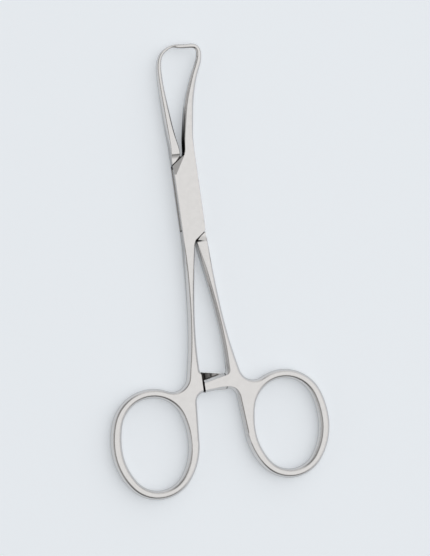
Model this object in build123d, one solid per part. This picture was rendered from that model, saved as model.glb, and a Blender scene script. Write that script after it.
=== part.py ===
from build123d import *
import math
import os

# A ring-handled towel clamp, closed on its ratchet. Millimetres.
# It lies flat: +Y runs from the pivot to the tips, +Z is the front face, and the origin
# is on the pivot's axis in the back face of the box. Each piece is made about the middle
# plane of the box and lifted at the end.

# Lengths from the pivot
TIP_REACH = 41.45
SHANK_FOOT_AT = 43.3

# Box lock
BOX_WIDTH = 6.4
BOX_THICK = 4.0
CHEEK_THICK = 1.0
CHEEK_CORNER_AT = 9.1
SEAM_ANGLE = 36.0
JAW_CREST_OFFSET = 0.2
SHANK_CREST_OFFSET = -0.2
CREST_ROUND = 0.9
ROOT_AT = 12.5
EDGE_BREAK = 0.12
SEAM_GAP = 0.25
JAW_SHOULDER_RISE = 0.8
SHANK_SHOULDER_RISE = 0.75
SHOULDER_TURN = 1.2
SLOT_CORNER_AT = 8.6
SLOT_END_AT = 11.1
SLOT_END_OFFSET = 0.3
TONGUE_FACE_GAP = 0.05
TONGUE_END_GAP = 0.1
TONGUE_SIDE_GAP = 0.2
TONGUE_ROOT_DEPTH = 0.35
PIN_RADIUS = 1.4
PIN_RUNNING_GAP = 0.03

# Ground hollows that fall from the flat faces to the seam of the box lock
CHEEK_FACET_DROP = 0.5
CHEEK_FACET_START = (-2.7, 6.5)
CHEEK_FACET_END = (0.1, 11.2)
SHOULDER_SCOOP_AT = 12.05
SHOULDER_SCOOP_RADIUS = 3.6
SHOULDER_SCOOP_ANGLE = 36.0

# Shanks
SHANK_ROOT_WIDTH = 2.8
SHANK_UPPER_WIDTH = 2.35
SHANK_WAIST_WIDTH = 1.95
SHANK_FOOT_WIDTH = 2.85
SHANK_UPPER_AT = 21.0
SHANK_WAIST_AT = 35.0
SHANK_FOOT_OFFSET = 5.05
SHANK_THICK = 3.3
WALL_RECESS = 0.68
WALL_DEPTH = 1.1
UPPER_WALL_SHARE = 0.75

# Finger rings and the webs above them, with levels below the shank's foot
RING_INSIDE_OFFSET = 6.32
RING_TOP_BELOW = 5.48
RING_HALF_WIDTH = 11.9
RING_HALF_HEIGHT = 14.7
RING_SIDE_BAR = 3.0
RING_END_BAR = 2.55
OVAL_TOP_TIGHTER = 0.55
OVAL_FOOT_TIGHTER = 1.55
WEB_FOOT_ANGLE = 30.0
WEB_HOLLOW_RADIUS = 4.0
WEB_INNER_OFFSET = 5.4
WEB_INNER_BELOW = 8.7
WEB_INNER_RADIUS = 2.4

# Ratchet bars, with levels below the shank's foot
BAR_OVERHANG = 3.0
BAR_END_GAP = 0.5
BAR_TOP_BELOW = 4.12
BAR_SLOPE = 1.3
BAR_TIP_HEIGHT = 3.35
BAR_ARCH = 0.35
BAR_ARCH_OFFSET = 1.2
REAR_BAR_RISE = 1.0
BAR_ROOT_RADIUS = 0.8
BAR_FACE_GAP = 0.08
TOOTH_COUNT = 3
TOOTH_PITCH = 1.8
TOOTH_DEPTH = 0.6
TOOTH_START = -1.4

# Jaws
MALE_ROOT_WIDTH = 2.35
FEMALE_ROOT_WIDTH = 2.65
TIP_LAYER = 0.55
TIP_THICK = 0.9
POINT_SIZE = 0.16
BLADE_SPANS = 8
HOOK_SPANS = 12

HALF_BOX = BOX_WIDTH / 2
HALF_THICK = BOX_THICK / 2
RING_X = RING_INSIDE_OFFSET + RING_HALF_WIDTH
RING_Y = -SHANK_FOOT_AT - RING_TOP_BELOW - RING_HALF_HEIGHT
BAR_TOP = -SHANK_FOOT_AT - BAR_TOP_BELOW
BAR_LOW = BAR_TOP - BAR_SLOPE - BAR_TIP_HEIGHT
CLEAR = 5.0
LEFT = -1
RIGHT = 1
FRONT = -1
BACK = 0


def polygon(points):
    """A flat face with straight sides through the given points."""
    return make_face(Polyline(*points, close=True))


def slab(face, low, high):
    """The face made solid between two heights."""
    return extrude(Pos(0, 0, low) * face, amount=high - low)


def half_turned(points):
    """The points turned half round the pivot."""
    return [(-x, -y) for x, y in points]


def bar_section(width, thick, recess, depth):
    """A bar's section: flat front and back, and side walls that stand out between them."""
    x, y = width / 2, thick / 2
    return [
        (-x + recess, -y),
        (x - recess, -y),
        (x, -y + depth),
        (x, y - depth),
        (x - recess, y),
        (-x + recess, y),
        (-x, y - depth),
        (-x, -y + depth),
    ]


def section_wire(place, along, size):
    """The closed edge of a bar's section at a place, square to a direction."""
    plane = Plane(origin=place, x_dir=(along.Y, -along.X, 0), z_dir=along)
    corners = [plane.from_local_coords(Vector(u, v)) for u, v in bar_section(*size)]
    return Wire.make_polygon(corners, close=True)


def curved_bar(stations, bend):
    """A bar along a curve through stations of (x, y, z, width, thick, recess, depth).

    It is drawn in two lengths that meet at the station where it starts to bend over.
    """
    places = [Vector(*station[:3]) for station in stations]
    sizes = [station[3:] for station in stations]
    finish = (places[-1] - places[-2]).normalized()
    path = Spline(*places, tangents=[(0, 1, 0), finish])
    shares = [path.param_at_point(place) for place in places]

    def section(share):
        k = max(n for n in range(len(shares) - 1) if shares[n] <= share)
        part = (share - shares[k]) / (shares[k + 1] - shares[k])
        size = [low + part * (high - low) for low, high in zip(sizes[k], sizes[k + 1])]
        along = path % share
        return section_wire(path @ share, Vector(along.X, along.Y).normalized(), size)

    start = shares[bend]
    blade = [section(start * i / BLADE_SPANS) for i in range(BLADE_SPANS + 1)]
    hook = [section(start + (1 - start) * i / HOOK_SPANS) for i in range(HOOK_SPANS + 1)]
    return Solid.make_loft(blade) + Solid.make_loft(hook)


def facet_cutter(start, end, corner, drop):
    """What is ground off beyond a line on the front face, down to a drop at a corner."""
    line = Vector(*end) - Vector(*start)
    reach = Vector(*corner) - Vector(*start)
    across = Vector(-line.Y, line.X).normalized()
    side = math.copysign(1, across.dot(reach))
    tilt = math.degrees(math.atan2(drop, abs(across.dot(reach))))
    plane = Plane(origin=(*start, HALF_THICK), x_dir=line, z_dir=(0, 0, 1))
    block = Pos(line.length / 2, side * CLEAR / 2, CLEAR / 2) * Box(line.length, CLEAR, CLEAR)
    return plane * Rot(-side * tilt, 0, 0) * block


def scoop():
    """A round hollow across the front face, below a level where it starts steeply."""
    angle = math.radians(SHOULDER_SCOOP_ANGLE)
    level = SHOULDER_SCOOP_AT - SHOULDER_SCOOP_RADIUS * math.sin(angle)
    height = HALF_THICK + SHOULDER_SCOOP_RADIUS * math.cos(angle)
    return Pos(0, level, height) * Rot(0, 90, 0) * Cylinder(SHOULDER_SCOOP_RADIUS, 2 * BOX_WIDTH)


def all_round(cutter):
    """The cutter on the front and back faces, at both ends of the box lock."""
    pair = [cutter, mirror(cutter, Plane.XY)]
    return pair + [Rot(0, 0, 180) * one for one in pair]


def seam_point(x, gap):
    """A point at x on the line of the cheek's upper seam, a gap outside it."""
    angle = math.radians(SEAM_ANGLE)
    return (x, CHEEK_CORNER_AT + math.tan(angle) * (x + HALF_BOX) + gap / math.cos(angle))


def slot_point(x, gap):
    """A point at x on the slot's lower end wall, a gap inside it."""
    slope = (SLOT_CORNER_AT - SLOT_END_AT) / (SLOT_END_OFFSET + HALF_BOX)
    return (x, -SLOT_CORNER_AT + slope * (x + HALF_BOX) + gap * math.hypot(1, slope))


def broken_edges(block):
    """The block with its front and back edges broken, apart from those at its two roots."""
    edges = block.edges().filter_by(Plane.XY)
    edges = edges.filter_by(lambda edge: abs(edge.center().Y) < ROOT_AT - EDGE_BREAK)
    return chamfer(edges, EDGE_BREAK)


def cheek_edge(crest_offset, root_width):
    """The upper edge of the cheeks, from the left side over the crest to the root of a bar."""
    crest = seam_point(crest_offset, 0)
    return [(-HALF_BOX, CHEEK_CORNER_AT), crest, (HALF_BOX - root_width, ROOT_AT)]


def box_body():
    """The slotted box of the female arm, with its two cheeks."""
    upper = cheek_edge(JAW_CREST_OFFSET, FEMALE_ROOT_WIDTH) + [(HALF_BOX, ROOT_AT)]
    lower = cheek_edge(SHANK_CREST_OFFSET, SHANK_ROOT_WIDTH) + [(HALF_BOX, ROOT_AT)]
    outline = polygon(upper + half_turned(lower))
    for near in (upper[1], half_turned(lower)[1]):
        outline = fillet(outline.vertices().sort_by_distance(near)[0], CREST_ROUND)
    block = broken_edges(slab(outline, -HALF_THICK, HALF_THICK))
    beyond = (2 * HALF_BOX, -SLOT_END_AT - HALF_BOX)
    end_wall = [slot_point(-2 * HALF_BOX, 0), slot_point(SLOT_END_OFFSET, 0), beyond]
    slot_half = HALF_THICK - CHEEK_THICK
    block -= slab(polygon(end_wall + half_turned(end_wall)), -slot_half, slot_half)
    facet = facet_cutter(CHEEK_FACET_START, CHEEK_FACET_END, upper[0], CHEEK_FACET_DROP)
    for cutter in all_round(facet):
        block -= cutter
    return block


def shoulder_corner(root_width, rise):
    """The inner corner of a shoulder, raised above the seam's line."""
    inner = root_width - HALF_BOX
    return (inner, seam_point(inner, 0)[1] + rise)


def shoulder(root_width, rise):
    """A full-thickness shoulder of the male arm, at the upper left of the box."""
    corner = shoulder_corner(root_width, rise)
    start = seam_point(-HALF_BOX, SEAM_GAP)
    turn = seam_point(corner[0] - SHOULDER_TURN, SEAM_GAP)
    outline = polygon([start, turn, corner, (corner[0], ROOT_AT), (-HALF_BOX, ROOT_AT)])
    block = broken_edges(slab(outline, -HALF_THICK, HALF_THICK))
    return block - scoop() - mirror(scoop(), Plane.XY)


def tongue():
    """The thin tongue of the male arm that fills the slot and turns on the pin."""
    side = HALF_BOX - TONGUE_SIDE_GAP
    corner = half_turned([shoulder_corner(MALE_ROOT_WIDTH, JAW_SHOULDER_RISE)])[0]
    root = (corner[0] + TONGUE_ROOT_DEPTH, corner[1] - TONGUE_ROOT_DEPTH)
    half = [
        slot_point(-side, TONGUE_END_GAP),
        slot_point(SLOT_END_OFFSET - TONGUE_SIDE_GAP, TONGUE_END_GAP),
        root,
        (side, root[1]),
    ]
    tongue_half = HALF_THICK - CHEEK_THICK - TONGUE_FACE_GAP
    return slab(polygon(half + half_turned(half)), -tongue_half, tongue_half)


def pin(radius):
    """A cylinder through the box on the pivot's axis."""
    return Cylinder(radius, BOX_THICK)


def shank(side):
    """One shank, from the box lock down to its foot above the ring."""
    root = HALF_BOX - SHANK_ROOT_WIDTH / 2
    middle_thick = (BOX_THICK + SHANK_THICK) / 2
    recess, depth = UPPER_WALL_SHARE * WALL_RECESS, UPPER_WALL_SHARE * WALL_DEPTH
    profile = [
        (ROOT_AT, SHANK_ROOT_WIDTH, BOX_THICK, EDGE_BREAK, EDGE_BREAK),
        (SHANK_UPPER_AT, SHANK_UPPER_WIDTH, middle_thick, recess, depth),
        (SHANK_WAIST_AT, SHANK_WAIST_WIDTH, SHANK_THICK, WALL_RECESS, WALL_DEPTH),
        (SHANK_FOOT_AT, SHANK_FOOT_WIDTH, SHANK_THICK, WALL_RECESS, WALL_DEPTH),
    ]
    sections = []
    for at, *size in profile:
        share = (at - ROOT_AT) / (SHANK_FOOT_AT - ROOT_AT)
        centre = root + share * (SHANK_FOOT_OFFSET - root)
        sections.append(section_wire((side * centre, -at, 0), Vector(0, -1, 0), size))
    return Solid.make_loft(sections)


def side_radius(half_width, half_height, end_radius):
    """Radius of an oval's side arcs, which run tangent into its end arcs."""
    rise = half_height - end_radius
    return (half_width**2 + rise**2 - end_radius**2) / (2 * (half_width - end_radius))


def oval_end(half_width, half_height, tighter, end):
    """The two side arcs and the end arc of an oval's upper or lower half."""
    end_radius = half_width - tighter
    side = side_radius(half_width, half_height, end_radius)
    shift = side - half_width
    turn = math.atan2(half_height - end_radius, shift)
    x = side * math.cos(turn) - shift
    y = side * math.sin(turn)
    middle = (side * math.cos(turn / 2) - shift, side * math.sin(turn / 2))
    return [
        ThreePointArc((half_width, 0), (middle[0], end * middle[1]), (x, end * y)),
        ThreePointArc((x, end * y), (0, end * half_height), (-x, end * y)),
        ThreePointArc((-x, end * y), (-middle[0], end * middle[1]), (-half_width, 0)),
    ]


def oval(half_width, half_height):
    """An oval of tangent arcs about the right-hand ring's centre, fuller at its top."""
    arcs = oval_end(half_width, half_height, OVAL_TOP_TIGHTER, 1)
    arcs += oval_end(half_width, half_height, OVAL_FOOT_TIGHTER, -1)
    return Pos(RING_X, RING_Y) * make_face(arcs)


def web_hollow(top, foot):
    """What fills the corner between the web's outer side and the ring, hollowed to an arc."""
    side = (Vector(*foot) - Vector(*top)).normalized()
    outward = Vector(-side.Y, side.X)
    end_radius = RING_HALF_WIDTH - OVAL_TOP_TIGHTER
    end_centre = Vector(RING_X, RING_Y + RING_HALF_HEIGHT - end_radius)
    offset = Vector(*top) + outward * WEB_HOLLOW_RADIUS - end_centre
    reach = end_radius + WEB_HOLLOW_RADIUS
    along = -offset.dot(side) - math.sqrt(offset.dot(side) ** 2 - offset.dot(offset) + reach**2)
    centre = Vector(*top) + side * along + outward * WEB_HOLLOW_RADIUS
    on_side = centre - outward * WEB_HOLLOW_RADIUS
    on_ring = centre + (end_centre - centre).normalized() * WEB_HOLLOW_RADIUS
    corner = polygon([(on_side.X, on_side.Y), foot, (on_ring.X, on_ring.Y)])
    return corner - Pos(centre.X, centre.Y) * Circle(WEB_HOLLOW_RADIUS)


def web_tangent(start):
    """Where a line from a point above meets the ring's inner side without a corner."""
    end_radius = RING_HALF_WIDTH - OVAL_TOP_TIGHTER
    radius = side_radius(RING_HALF_WIDTH, RING_HALF_HEIGHT, end_radius)
    centre = Vector(RING_INSIDE_OFFSET + radius, RING_Y)
    line = Vector(*start) - centre
    turn = math.atan2(line.Y, line.X) + math.acos(radius / line.length)
    return (centre.X + radius * math.cos(turn), centre.Y + radius * math.sin(turn))


def handle_outline(rise):
    """Outline of the right-hand web, ring and ratchet bar, the bar's end still too long."""
    inner = SHANK_FOOT_OFFSET - SHANK_FOOT_WIDTH / 2
    outer = SHANK_FOOT_OFFSET + SHANK_FOOT_WIDTH / 2
    end = -BAR_OVERHANG - 2 * WALL_RECESS
    slope = BAR_SLOPE / (inner + BAR_OVERHANG)
    foot_angle = math.radians(WEB_FOOT_ANGLE)
    web_top = (outer, -SHANK_FOOT_AT)
    web_foot = (
        RING_X - (RING_HALF_WIDTH - RING_SIDE_BAR / 2) * math.cos(foot_angle),
        RING_Y + (RING_HALF_HEIGHT - RING_END_BAR / 2) * math.sin(foot_angle),
    )
    bar_root = (inner, BAR_TOP + rise)
    web_inner = (WEB_INNER_OFFSET, -SHANK_FOOT_AT - WEB_INNER_BELOW)
    on_ring = web_tangent(web_inner)
    body = polygon(
        [
            (inner, -SHANK_FOOT_AT),
            web_top,
            web_foot,
            (RING_INSIDE_OFFSET + RING_SIDE_BAR / 2, on_ring[1]),
            on_ring,
            web_inner,
            (BAR_ARCH_OFFSET, BAR_LOW + BAR_ARCH),
            (end, BAR_LOW),
            (end, BAR_TOP + rise - slope * (inner - end)),
            bar_root,
        ]
    )
    for near, radius in ((bar_root, BAR_ROOT_RADIUS), (web_inner, WEB_INNER_RADIUS)):
        body = fillet(body.vertices().sort_by_distance(near)[0], radius)
    outline = body + oval(RING_HALF_WIDTH, RING_HALF_HEIGHT)
    outline += web_hollow(web_top, web_foot)
    return outline - oval(RING_HALF_WIDTH - RING_SIDE_BAR, RING_HALF_HEIGHT - RING_END_BAR)


def teeth(face):
    """The gaps between the ratchet teeth, cut up into the right-hand bar from its back face."""
    gaps = []
    for i in range(TOOTH_COUNT):
        steep = TOOTH_START + i * TOOTH_PITCH
        ramp_end = steep + TOOTH_PITCH
        below = face - TOOTH_DEPTH
        profile = [(steep, below), (steep, face + TOOTH_DEPTH), (ramp_end, face), (ramp_end, below)]
        top = BAR_TOP + REAR_BAR_RISE + BAR_END_GAP
        gap = extrude(Plane.XZ * polygon(profile), amount=top - BAR_LOW + BAR_END_GAP)
        gaps.append(Pos(0, top, 0) * gap)
    return gaps


def rounded_rim(plate, end):
    """The plate with the walls at its front or back recessed, apart from the shank's foot."""
    face = plate.faces().sort_by(Axis.Z)[end]
    rim = face.edges().filter_by(lambda edge: edge.center().Y < -SHANK_FOOT_AT - EDGE_BREAK)
    return chamfer(rim, WALL_RECESS, WALL_DEPTH, reference=face)


def handle(rise):
    """The right-hand web, ring and front ratchet bar, with its teeth in its back face."""
    plate = slab(handle_outline(rise), -SHANK_THICK / 2, SHANK_THICK / 2)
    plate = rounded_rim(rounded_rim(plate, FRONT), BACK)
    face = BAR_FACE_GAP / 2
    low = BAR_LOW - BAR_END_GAP
    height = BAR_TOP + REAR_BAR_RISE + BAR_END_GAP - low
    room = Box(2 * CLEAR, height, CLEAR, align=(Align.MAX, Align.MIN, Align.MAX))
    excess = Box(CLEAR, height, CLEAR, align=(Align.MAX, Align.MIN, Align.CENTER))
    plate -= Pos(BAR_OVERHANG + BAR_END_GAP, low, face) * room
    plate -= Pos(-BAR_OVERHANG, low, 0) * excess
    for gap in teeth(face):
        plate -= gap
    return plate


def male_jaw():
    """The left-hand jaw, which bends over to a point behind the other."""
    layer = -TIP_LAYER
    root = MALE_ROOT_WIDTH / 2 - HALF_BOX
    reach = TIP_REACH - ROOT_AT
    stations = [
        (root, ROOT_AT, 0, MALE_ROOT_WIDTH, BOX_THICK, EDGE_BREAK, EDGE_BREAK),
        (-2.4, ROOT_AT + 0.16 * reach, 0, 2.1, 3.6, 0.35, 0.6),
        (-2.78, ROOT_AT + 0.36 * reach, 0, 1.95, 3.1, 0.5, 0.8),
        (-3.1, ROOT_AT + 0.6 * reach, 0, 1.65, 2.5, 0.5, 0.8),
        (-3.1, TIP_REACH - 7.45, 0.05 * layer, 1.5, 2.15, 0.45, 0.72),
        (-2.75, TIP_REACH - 4.45, 0.2 * layer, 1.35, 1.85, 0.4, 0.62),
        (-1.75, TIP_REACH - 2.25, 0.45 * layer, 1.1, 1.55, 0.34, 0.5),
        (-0.45, TIP_REACH - 1.1, 0.7 * layer, 0.95, 1.3, 0.3, 0.42),
        (1.2, TIP_REACH - 0.3, layer, 0.8, 1.1, 0.25, 0.34),
        (3.0, TIP_REACH, layer, 0.72, TIP_THICK, 0.22, 0.28),
        (5.2, TIP_REACH - 0.1, layer, 0.55, 0.7, 0.17, 0.21),
        (7.0, TIP_REACH - 0.3, layer, POINT_SIZE, POINT_SIZE, 0.05, 0.05),
    ]
    return curved_bar(stations, 5)


def female_jaw():
    """The right-hand jaw, which bends back sharply to a point in front of the other."""
    layer = TIP_LAYER
    root = HALF_BOX - FEMALE_ROOT_WIDTH / 2
    reach = TIP_REACH - ROOT_AT
    stations = [
        (root, ROOT_AT, 0, FEMALE_ROOT_WIDTH, BOX_THICK, EDGE_BREAK, EDGE_BREAK),
        (2.3, ROOT_AT + 0.16 * reach, 0, 2.7, 3.65, 0.4, 0.65),
        (3.05, ROOT_AT + 0.31 * reach, 0, 2.7, 3.3, 0.52, 0.8),
        (4.1, ROOT_AT + 0.48 * reach, 0, 2.4, 2.85, 0.6, 0.8),
        (5.2, ROOT_AT + 0.6 * reach, 0, 2.0, 2.55, 0.58, 0.78),
        (6.3, ROOT_AT + 0.7 * reach, 0.05 * layer, 1.78, 2.3, 0.52, 0.72),
        (7.5, TIP_REACH - 6.05, 0.2 * layer, 1.68, 2.0, 0.46, 0.65),
        (8.25, TIP_REACH - 4.05, 0.4 * layer, 1.55, 1.8, 0.42, 0.58),
        (8.47, TIP_REACH - 2.75, 0.6 * layer, 1.42, 1.6, 0.38, 0.5),
        (8.25, TIP_REACH - 1.6, 0.8 * layer, 1.3, 1.4, 0.35, 0.44),
        (7.55, TIP_REACH - 0.88, 0.95 * layer, 1.26, 1.2, 0.33, 0.38),
        (6.5, TIP_REACH - 0.66, layer, 1.2, 1.1, 0.3, 0.34),
        (5.0, TIP_REACH - 0.64, layer, 1.12, 1.0, 0.28, 0.3),
        (3.5, TIP_REACH - 0.6, layer, 1.0, TIP_THICK, 0.25, 0.28),
        (2.6, TIP_REACH - 0.56, layer, 0.8, 0.75, 0.2, 0.24),
        (1.8, TIP_REACH - 0.52, layer, POINT_SIZE, POINT_SIZE, 0.05, 0.05),
    ]
    return curved_bar(stations, 7)


def female_arm():
    """The arm with the box: right jaw, left shank, left ring and the rear ratchet bar."""
    lower = mirror(mirror(handle(REAR_BAR_RISE), Plane.YZ), Plane.XY)
    arm = box_body() + female_jaw() + shank(LEFT) + lower
    return arm - pin(PIN_RADIUS)


def male_arm():
    """The arm with the tongue: left jaw, right shank, right ring and the front ratchet bar."""
    arm = tongue() + shoulder(MALE_ROOT_WIDTH, JAW_SHOULDER_RISE)
    arm += Rot(0, 0, 180) * shoulder(SHANK_ROOT_WIDTH, SHANK_SHOULDER_RISE)
    arm = arm + male_jaw() + shank(RIGHT) + handle(0)
    return arm - pin(PIN_RADIUS + PIN_RUNNING_GAP)


def main():
    os.makedirs("parts", exist_ok=True)
    pieces = {
        "female_arm": female_arm(),
        "male_arm": male_arm(),
        "pivot_pin": pin(PIN_RADIUS),
    }
    for name, piece in pieces.items():
        export_step(Pos(0, 0, HALF_THICK) * piece, f"parts/{name}.step")


main()
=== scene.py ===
import math

import bpy
from mathutils import Matrix, Vector

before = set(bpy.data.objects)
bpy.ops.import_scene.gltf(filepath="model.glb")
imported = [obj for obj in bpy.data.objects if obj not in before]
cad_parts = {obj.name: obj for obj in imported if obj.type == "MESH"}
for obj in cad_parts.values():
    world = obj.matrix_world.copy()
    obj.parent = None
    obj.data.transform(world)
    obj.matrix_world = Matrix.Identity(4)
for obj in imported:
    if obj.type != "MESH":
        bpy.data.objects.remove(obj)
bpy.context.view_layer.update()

# Lengths are in metres and angles in degrees. Colours and levels are linear.

# The photograph's frame in pixels, and the camera's place
IMAGE_WIDTH = 430
IMAGE_HEIGHT = 556
SENSOR = 36.0
FOCAL_PIXELS = 1513.6
CAMERA_DISTANCE = 0.4058
CAMERA_TARGET = (0.00426, -0.02206, 0.002)
CAMERA_SIDEWAYS = -13.59
CAMERA_UPWARDS = -1.60
CAMERA_ROLL = -8.15
NEAR_CLIP = 0.01
FAR_CLIP = 10.0

# Levels of light in the room, and the parts of a direction over which they change
ROOM_LIGHT = 0.82
ROOM_DARK = 0.30
FAR_LEFT = 0.62
END_SHARE = 0.24
LEFT_FADE = (-0.36, 0.06)
FAR_LEFT_FADE = (-0.62, -0.90)
END_FADE = (-0.90, -0.45)
LAMP_PLACE = (0.22, 0.02, 0.60)
LAMP_TARGET = (0, -0.02, 0)
LAMP_SIZE = 0.7
LAMP_POWER = 0.35

# The floor, and what it adds of its own light
FLOOR_HALF_SIZE = 3.0
FLOOR_COLOUR = (0.80, 0.84, 0.88, 1)
FLOOR_ROUGHNESS = 0.9
FLOOR_SPECULAR = 0.1
FLOOR_GLOW = 0.29
FLOOR_GLOW_COLOUR = (0.94, 0.97, 1.0, 1)

# The steel: two tones in faint clouds, a fine grain, and a near-black painted shade for the seams,
# crotches and ratchet gaps
STEEL_LOW = (0.668, 0.655, 0.645, 1)
STEEL_HIGH = (0.692, 0.680, 0.670, 1)
# Painted shade: the near-black colour put into the seams, crotches and ratchet gaps where shade
# falls
PAINTED_SHADE_STEEL = (0.045, 0.043, 0.042, 1)
CLOUD_SCALE = 700.0
CLOUD_DETAIL = 3.0
CLOUD_LOW = 0.3
CLOUD_HIGH = 0.7
GRAIN_SCALE = 6000.0
GRAIN_DETAIL = 2.0
GRAIN_STRENGTH = 0.05
GRAIN_HEIGHT = 0.00002
ROUGHNESS_LOW = 0.17
ROUGHNESS_HIGH = 0.27
EDGE_SHEEN = 0.75
# The specular tint inside the painted shade, which dims its edge reflections too
PAINTED_SHADE_EDGE_SHEEN = 0.10

# Where painted shade darkens the steel: the seams, crotches and ratchet gaps. A wall is a face whose
# normal rises no more than WALL_RISE
MIDDLE_LEVEL = 0.002
WALL_RISE = 0.6
SEAM_DEPTH = 0.00098
SEAM_AT = 0.01005
SEAM_REACH = 0.00185
SEAM_SIDE = 0.00312
DOWNWARD = -0.3
CROTCH_SIDE = 0.0024
CROTCH_START = 0.0115
CROTCH_FADED = 0.0300
LOWER_CROTCH_RATE = -2.0
TEETH_AT = -0.0496
TEETH_REACH = 0.0036
TEETH_DEPTH = 0.0007
TEETH_SIDE = 0.0045
BAR_SIDE = 0.0030
BAR_END_REACH = 0.0001

# Soft edges on the steel, as shares of the full ridge
RIDGE_WIDTH = 0.00027
RIDGE_SEGMENTS = 3
CRISP_SHARE = 0.15
RING_SHARE = 1.4
RING_SIDE = 0.0085
RING_BLEND = 0.0040
RING_TANGENT = (0.0068, -0.0647)
TANGENT_REACH = 0.0004
TANGENT_BLEND = 0.0030
PIN_REACH = 0.002
CROTCH_AT = 0.0117
CROTCH_REACH = 0.0010
BOX_END = 0.0130
FULL_RIDGE_AT = 0.0210
JAW_TIP = 0.0414
TIP_SHARE = 0.5
BAR_LOW = -0.0526
BAR_MIDDLE = -0.0500
BAR_TOP = -0.0466
BAR_BLEND = 0.0014

# Which edges are soft and which stay sharp, and the clean-up of the mesh before
SHARP_ANGLE = 24.0
BOX_SHARP_ANGLE = 40.0
FACET_ANGLE = 9.0
FLAT_ANGLE = 0.6
FLAT_WEIGHT = 90
WELD_REACH = 0.00004
MATCH_DIGITS = 6


def add_camera():
    """The camera at the photograph's viewing angle, looking down at the clamp."""
    side = math.radians(CAMERA_SIDEWAYS)
    rise = math.radians(CAMERA_UPWARDS)
    roll = math.radians(CAMERA_ROLL)
    back = Vector((math.sin(side) * math.cos(rise), math.sin(rise), math.cos(side) * math.cos(rise)))
    right = Vector((0, 1, 0)).cross(back).normalized()
    up = back.cross(right)
    turned_right = right * math.cos(roll) + up * math.sin(roll)
    turned_up = up * math.cos(roll) - right * math.sin(roll)
    place = Vector(CAMERA_TARGET) + back * CAMERA_DISTANCE
    camera = bpy.data.cameras.new("camera")
    camera.sensor_width = SENSOR
    camera.lens = SENSOR * FOCAL_PIXELS / max(IMAGE_WIDTH, IMAGE_HEIGHT)
    camera.clip_start = NEAR_CLIP
    camera.clip_end = FAR_CLIP
    holder = bpy.data.objects.new("camera", camera)
    bpy.context.scene.collection.objects.link(holder)
    axes = Matrix((turned_right, turned_up, back)).transposed()
    holder.matrix_world = Matrix.Translation(place) @ axes.to_4x4()
    bpy.context.scene.camera = holder


def add_light(name, place, target, size, power):
    """A soft square lamp that faces its target."""
    lamp = bpy.data.lights.new(name, "AREA")
    lamp.size = size
    lamp.energy = power
    holder = bpy.data.objects.new(name, lamp)
    bpy.context.scene.collection.objects.link(holder)
    holder.location = place
    holder.rotation_mode = "QUATERNION"
    aim = Vector(target) - Vector(place)
    holder.rotation_quaternion = aim.to_track_quat("-Z", "Y")


def math_node(tree, operation, *values):
    """A node that works on numbers or on other nodes' results."""
    node = tree.nodes.new("ShaderNodeMath")
    node.operation = operation
    for socket, value in zip(node.inputs, values):
        if isinstance(value, float):
            socket.default_value = value
        else:
            tree.links.new(value, socket)
    return node.outputs["Value"]


def product(tree, first, *others):
    """All the results multiplied together."""
    for other in others:
        first = math_node(tree, "MULTIPLY", first, other)
    return first


def smooth_level(tree, value, dark_at, light_at):
    """A soft step from zero to one as the value goes from one level to the other."""
    node = tree.nodes.new("ShaderNodeMapRange")
    node.interpolation_type = "SMOOTHSTEP"
    node.inputs["From Min"].default_value = dark_at
    node.inputs["From Max"].default_value = light_at
    tree.links.new(value, node.inputs["Value"])
    return node.outputs["Result"]


def blend_level(tree, share, start, end):
    """The level between a start and an end that a share from zero to one stands for."""
    node = tree.nodes.new("ShaderNodeMapRange")
    node.inputs["To Min"].default_value = start
    node.inputs["To Max"].default_value = end
    tree.links.new(share, node.inputs["Value"])
    return node.outputs["Result"]


def noise(tree, place, scale, detail):
    """A fine noise in the steel's own coordinates."""
    node = tree.nodes.new("ShaderNodeTexNoise")
    node.inputs["Scale"].default_value = scale
    node.inputs["Detail"].default_value = detail
    tree.links.new(place.outputs["Object"], node.inputs["Vector"])
    return node.outputs["Fac"]


def components(tree, vector):
    """The X, Y and Z of a vector."""
    parts = tree.nodes.new("ShaderNodeSeparateXYZ")
    tree.links.new(vector, parts.inputs["Vector"])
    return [parts.outputs[axis] for axis in "XYZ"]


def new_material(name):
    """An empty node material with its node tree and shader."""
    material = bpy.data.materials.new(name)
    material.use_nodes = True
    tree = material.node_tree
    tree.nodes.clear()
    shader = tree.nodes.new("ShaderNodeBsdfPrincipled")
    output = tree.nodes.new("ShaderNodeOutputMaterial")
    tree.links.new(shader.outputs["BSDF"], output.inputs["Surface"])
    return material, tree, shader


def seen_or_mirrored(tree):
    """One where a surface is seen straight, in a mirror or through glass, and zero elsewhere."""
    path = tree.nodes.new("ShaderNodeLightPath")
    seen = math_node(tree, "MAXIMUM", path.outputs["Is Camera Ray"], path.outputs["Is Glossy Ray"])
    return math_node(tree, "MAXIMUM", seen, path.outputs["Is Transmission Ray"])


def add_floor():
    """The plain pale floor that the clamp lies on, which keeps the clamp's shadow."""
    size = FLOOR_HALF_SIZE
    mesh = bpy.data.meshes.new("floor")
    corners = [(-size, -size, 0), (size, -size, 0), (size, size, 0), (-size, size, 0)]
    mesh.from_pydata(corners, [], [(0, 1, 2, 3)])
    floor = bpy.data.objects.new("floor", mesh)
    bpy.context.scene.collection.objects.link(floor)
    material, tree, shader = new_material("floor_paper")
    shader.inputs["Base Color"].default_value = FLOOR_COLOUR
    shader.inputs["Roughness"].default_value = FLOOR_ROUGHNESS
    shader.inputs["Specular IOR Level"].default_value = FLOOR_SPECULAR
    shader.inputs["Emission Color"].default_value = FLOOR_GLOW_COLOUR
    glow = math_node(tree, "MULTIPLY", seen_or_mirrored(tree), FLOOR_GLOW)
    tree.links.new(glow, shader.inputs["Emission Strength"])
    mesh.materials.append(material)


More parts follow.
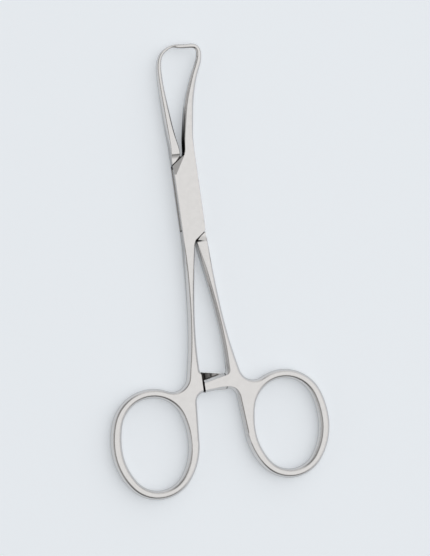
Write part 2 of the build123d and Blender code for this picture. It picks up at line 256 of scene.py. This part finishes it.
def add_world():
    """A plain soft studio: bright above and on the right, dim on the left and at the ring end."""
    world = bpy.data.worlds.new("studio")
    world.use_nodes = True
    tree = world.node_tree
    background = tree.nodes["Background"]
    background.inputs["Color"].default_value = (1, 1, 1, 1)
    place = tree.nodes.new("ShaderNodeTexCoord")
    x, y, _ = components(tree, place.outputs["Generated"])
    across = smooth_level(tree, x, *LEFT_FADE)
    nearer = math_node(tree, "MULTIPLY_ADD", across, ROOM_LIGHT - ROOM_DARK, ROOM_DARK)
    far_left = smooth_level(tree, x, *FAR_LEFT_FADE)
    side_level = math_node(tree, "MULTIPLY_ADD", far_left, FAR_LEFT - ROOM_DARK, nearer)
    along = smooth_level(tree, y, *END_FADE)
    end_level = math_node(tree, "MULTIPLY_ADD", along, 1 - END_SHARE, END_SHARE)
    level = math_node(tree, "MULTIPLY", side_level, end_level)
    tree.links.new(level, background.inputs["Strength"])
    bpy.context.scene.world = world


def seam_painted_shade(tree, place, facing, wall):
    """Painted shade: one inside the box lock's seams, apart from the lower walls that the shoulder
    mirrors.
    """
    x, y, z = place
    below = math_node(tree, "LESS_THAN", y, 0.0)
    turned_down = math_node(tree, "LESS_THAN", facing[1], DOWNWARD)
    others = math_node(tree, "SUBTRACT", 1.0, product(tree, below, turned_down))
    deep = math_node(tree, "COMPARE", z, MIDDLE_LEVEL, SEAM_DEPTH)
    inner = math_node(tree, "MAXIMUM", product(tree, wall, others), deep)
    in_seam = math_node(tree, "COMPARE", math_node(tree, "ABSOLUTE", y), SEAM_AT, SEAM_REACH)
    within = math_node(tree, "COMPARE", x, 0.0, SEAM_SIDE)
    return product(tree, inner, in_seam, within)


def crotch_painted_shade(tree, place, wall):
    """Painted shade: one on the inner walls beside the box lock, fading out along the jaws and the
    shanks.
    """
    x, y, _ = place
    between = math_node(tree, "COMPARE", x, 0.0, CROTCH_SIDE)
    beyond = math_node(tree, "GREATER_THAN", math_node(tree, "ABSOLUTE", y), CROTCH_START)
    away = math_node(tree, "MAXIMUM", y, math_node(tree, "MULTIPLY", y, LOWER_CROTCH_RATE))
    return product(tree, wall, between, beyond, smooth_level(tree, away, CROTCH_FADED, CROTCH_START))


def ratchet_painted_shade(tree, place, wall):
    """Painted shade: one on the toothed faces and the end walls of the ratchet bars, fading to the
    right.
    """
    x, y, z = place
    at_teeth = math_node(tree, "COMPARE", y, TEETH_AT, TEETH_REACH)
    level = math_node(tree, "COMPARE", z, MIDDLE_LEVEL, TEETH_DEPTH)
    upward = math_node(tree, "SUBTRACT", 1.0, wall)
    near = math_node(tree, "COMPARE", x, 0.0, TEETH_SIDE)
    faces = product(tree, level, upward, near, smooth_level(tree, x, TEETH_SIDE, -BAR_SIDE))
    beside = math_node(tree, "ABSOLUTE", x)
    end = math_node(tree, "COMPARE", beside, BAR_SIDE, BAR_END_REACH)
    return product(tree, at_teeth, math_node(tree, "MAXIMUM", faces, product(tree, end, wall)))


def painted_shade_mask(tree, coordinates):
    """The mask of painted shade: one on the inner faces of the box lock, the crotches and the
    ratchet, zero elsewhere.
    """
    place = components(tree, coordinates.outputs["Object"])
    facing = components(tree, coordinates.outputs["Normal"])
    wall = math_node(tree, "COMPARE", facing[2], 0.0, WALL_RISE)
    seam = seam_painted_shade(tree, place, facing, wall)
    crotch = crotch_painted_shade(tree, place, wall)
    ratchet = ratchet_painted_shade(tree, place, wall)
    return math_node(tree, "MAXIMUM", math_node(tree, "MAXIMUM", seam, crotch), ratchet)


def steel():
    """Satin stainless steel with a fine ground grain, and near-black painted shade in the seams,
    crotches and ratchet gaps.
    """
    material, tree, shader = new_material("satin_steel")
    shader.inputs["Metallic"].default_value = 1.0
    coordinates = tree.nodes.new("ShaderNodeTexCoord")
    grain = noise(tree, coordinates, GRAIN_SCALE, GRAIN_DETAIL)
    clouds = noise(tree, coordinates, CLOUD_SCALE, CLOUD_DETAIL)
    # Where the shade is painted, from zero to one
    shade_amount = painted_shade_mask(tree, coordinates)

    tones = tree.nodes.new("ShaderNodeValToRGB")
    low, high = tones.color_ramp.elements
    low.position = CLOUD_LOW
    low.color = STEEL_LOW
    high.position = CLOUD_HIGH
    high.color = STEEL_HIGH
    tree.links.new(clouds, tones.inputs["Fac"])
    blend = tree.nodes.new("ShaderNodeMix")
    blend.data_type = "RGBA"
    polished, shaded_tone = [socket for socket in blend.inputs if socket.type == "RGBA"]
    # Painted shade: the near-black colour mixed in over the steel's tones
    shaded_tone.default_value = PAINTED_SHADE_STEEL
    tree.links.new(shade_amount, blend.inputs["Factor"])
    tree.links.new(tones.outputs["Color"], polished)
    result = [socket for socket in blend.outputs if socket.type == "RGBA"][0]
    tree.links.new(result, shader.inputs["Base Color"])

    # Less specular tint where the shade is painted
    sheen = blend_level(tree, shade_amount, EDGE_SHEEN, PAINTED_SHADE_EDGE_SHEEN)
    tree.links.new(sheen, shader.inputs["Specular Tint"])
    rough = blend_level(tree, grain, ROUGHNESS_LOW, ROUGHNESS_HIGH)
    tree.links.new(rough, shader.inputs["Roughness"])
    bump = tree.nodes.new("ShaderNodeBump")
    bump.inputs["Strength"].default_value = GRAIN_STRENGTH
    bump.inputs["Distance"].default_value = GRAIN_HEIGHT
    tree.links.new(grain, bump.inputs["Height"])
    tree.links.new(bump.outputs["Normal"], shader.inputs["Normal"])
    return material


def ramp(value, start, length):
    """How far a value has gone from a start along a length, from zero to one."""
    return min(max((value - start) / length, 0), 1)


def ridge_share(place):
    """How much of the full rounding an edge takes: less at the box, the teeth and the tips."""
    x, y = abs(place.x), place.y
    if math.hypot(x, y) < PIN_REACH or math.hypot(x, abs(y) - CROTCH_AT) < CROTCH_REACH:
        return 0.0
    from_box = ramp(abs(y), BOX_END, FULL_RIDGE_AT - BOX_END)
    aside = max(x - BAR_SIDE - max(BAR_MIDDLE - y, 0), 0)
    above = max(BAR_LOW - y, y - BAR_TOP, 0)
    from_teeth = ramp(math.hypot(aside, above), 0, BAR_BLEND)
    tangent = math.hypot(x - RING_TANGENT[0], y - RING_TANGENT[1])
    from_tangent = ramp(tangent, TANGENT_REACH, TANGENT_BLEND)
    share = CRISP_SHARE + (1 - CRISP_SHARE) * min(from_box, from_teeth, from_tangent)
    if y > 0:
        return share * (1 - (1 - TIP_SHARE) * y / JAW_TIP)
    return share * (1 + (RING_SHARE - 1) * ramp(x, RING_SIDE, RING_BLEND))


def mark_edges(mesh):
    """Share out the rounding of the sharp edges, and keep the facets of the box crisp."""
    def key(edge):
        ends = [tuple(round(value, MATCH_DIGITS) for value in mesh.vertices[i].co) for i in edge]
        return tuple(sorted(ends))

    normals = {}
    for polygon in mesh.polygons:
        for edge in polygon.edge_keys:
            normals.setdefault(key(edge), []).append(polygon.normal.copy())
    weights = mesh.attributes.new("bevel_weight_edge", "FLOAT", "EDGE")
    for edge in mesh.edges:
        sides = normals[key(edge.vertices)]
        turn = max(one.angle(other, 0) for one in sides for other in sides)
        ends = [mesh.vertices[i].co for i in edge.vertices]
        middle = (ends[0] + ends[1]) / 2
        in_box = abs(middle.y) < BOX_END
        limit = BOX_SHARP_ANGLE if in_box else SHARP_ANGLE
        share = ridge_share(middle) if turn > math.radians(limit) else 0.0
        weights.data[edge.index].value = share
        facet = math.radians(FACET_ANGLE) < turn < math.radians(SHARP_ANGLE)
        edge.use_edge_sharp = in_box and facet


def dress(name, material):
    """The CAD piece with its edges softly rounded and the steel on it."""
    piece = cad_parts[name]
    piece.data.materials.clear()
    piece.data.materials.append(material)
    mark_edges(piece.data)
    weld = piece.modifiers.new("weld", "WELD")
    weld.merge_threshold = WELD_REACH
    flats = piece.modifiers.new("flats", "DECIMATE")
    flats.decimate_type = "DISSOLVE"
    flats.angle_limit = math.radians(FLAT_ANGLE)
    bevel = piece.modifiers.new("soft_edges", "BEVEL")
    bevel.limit_method = "WEIGHT"
    bevel.width = RIDGE_WIDTH
    bevel.segments = RIDGE_SEGMENTS
    bevel.use_clamp_overlap = False
    bevel.loop_slide = False
    normals = piece.modifiers.new("flat_shading", "WEIGHTED_NORMAL")
    normals.weight = FLAT_WEIGHT
    normals.keep_sharp = True


add_camera()
add_world()
add_floor()
add_light("overhead", LAMP_PLACE, LAMP_TARGET, LAMP_SIZE, LAMP_POWER)
metal = steel()
for node in ("female_arm", "male_arm", "pivot_pin"):
    dress(node, metal)

bpy.context.scene.view_settings.view_transform = "Standard"
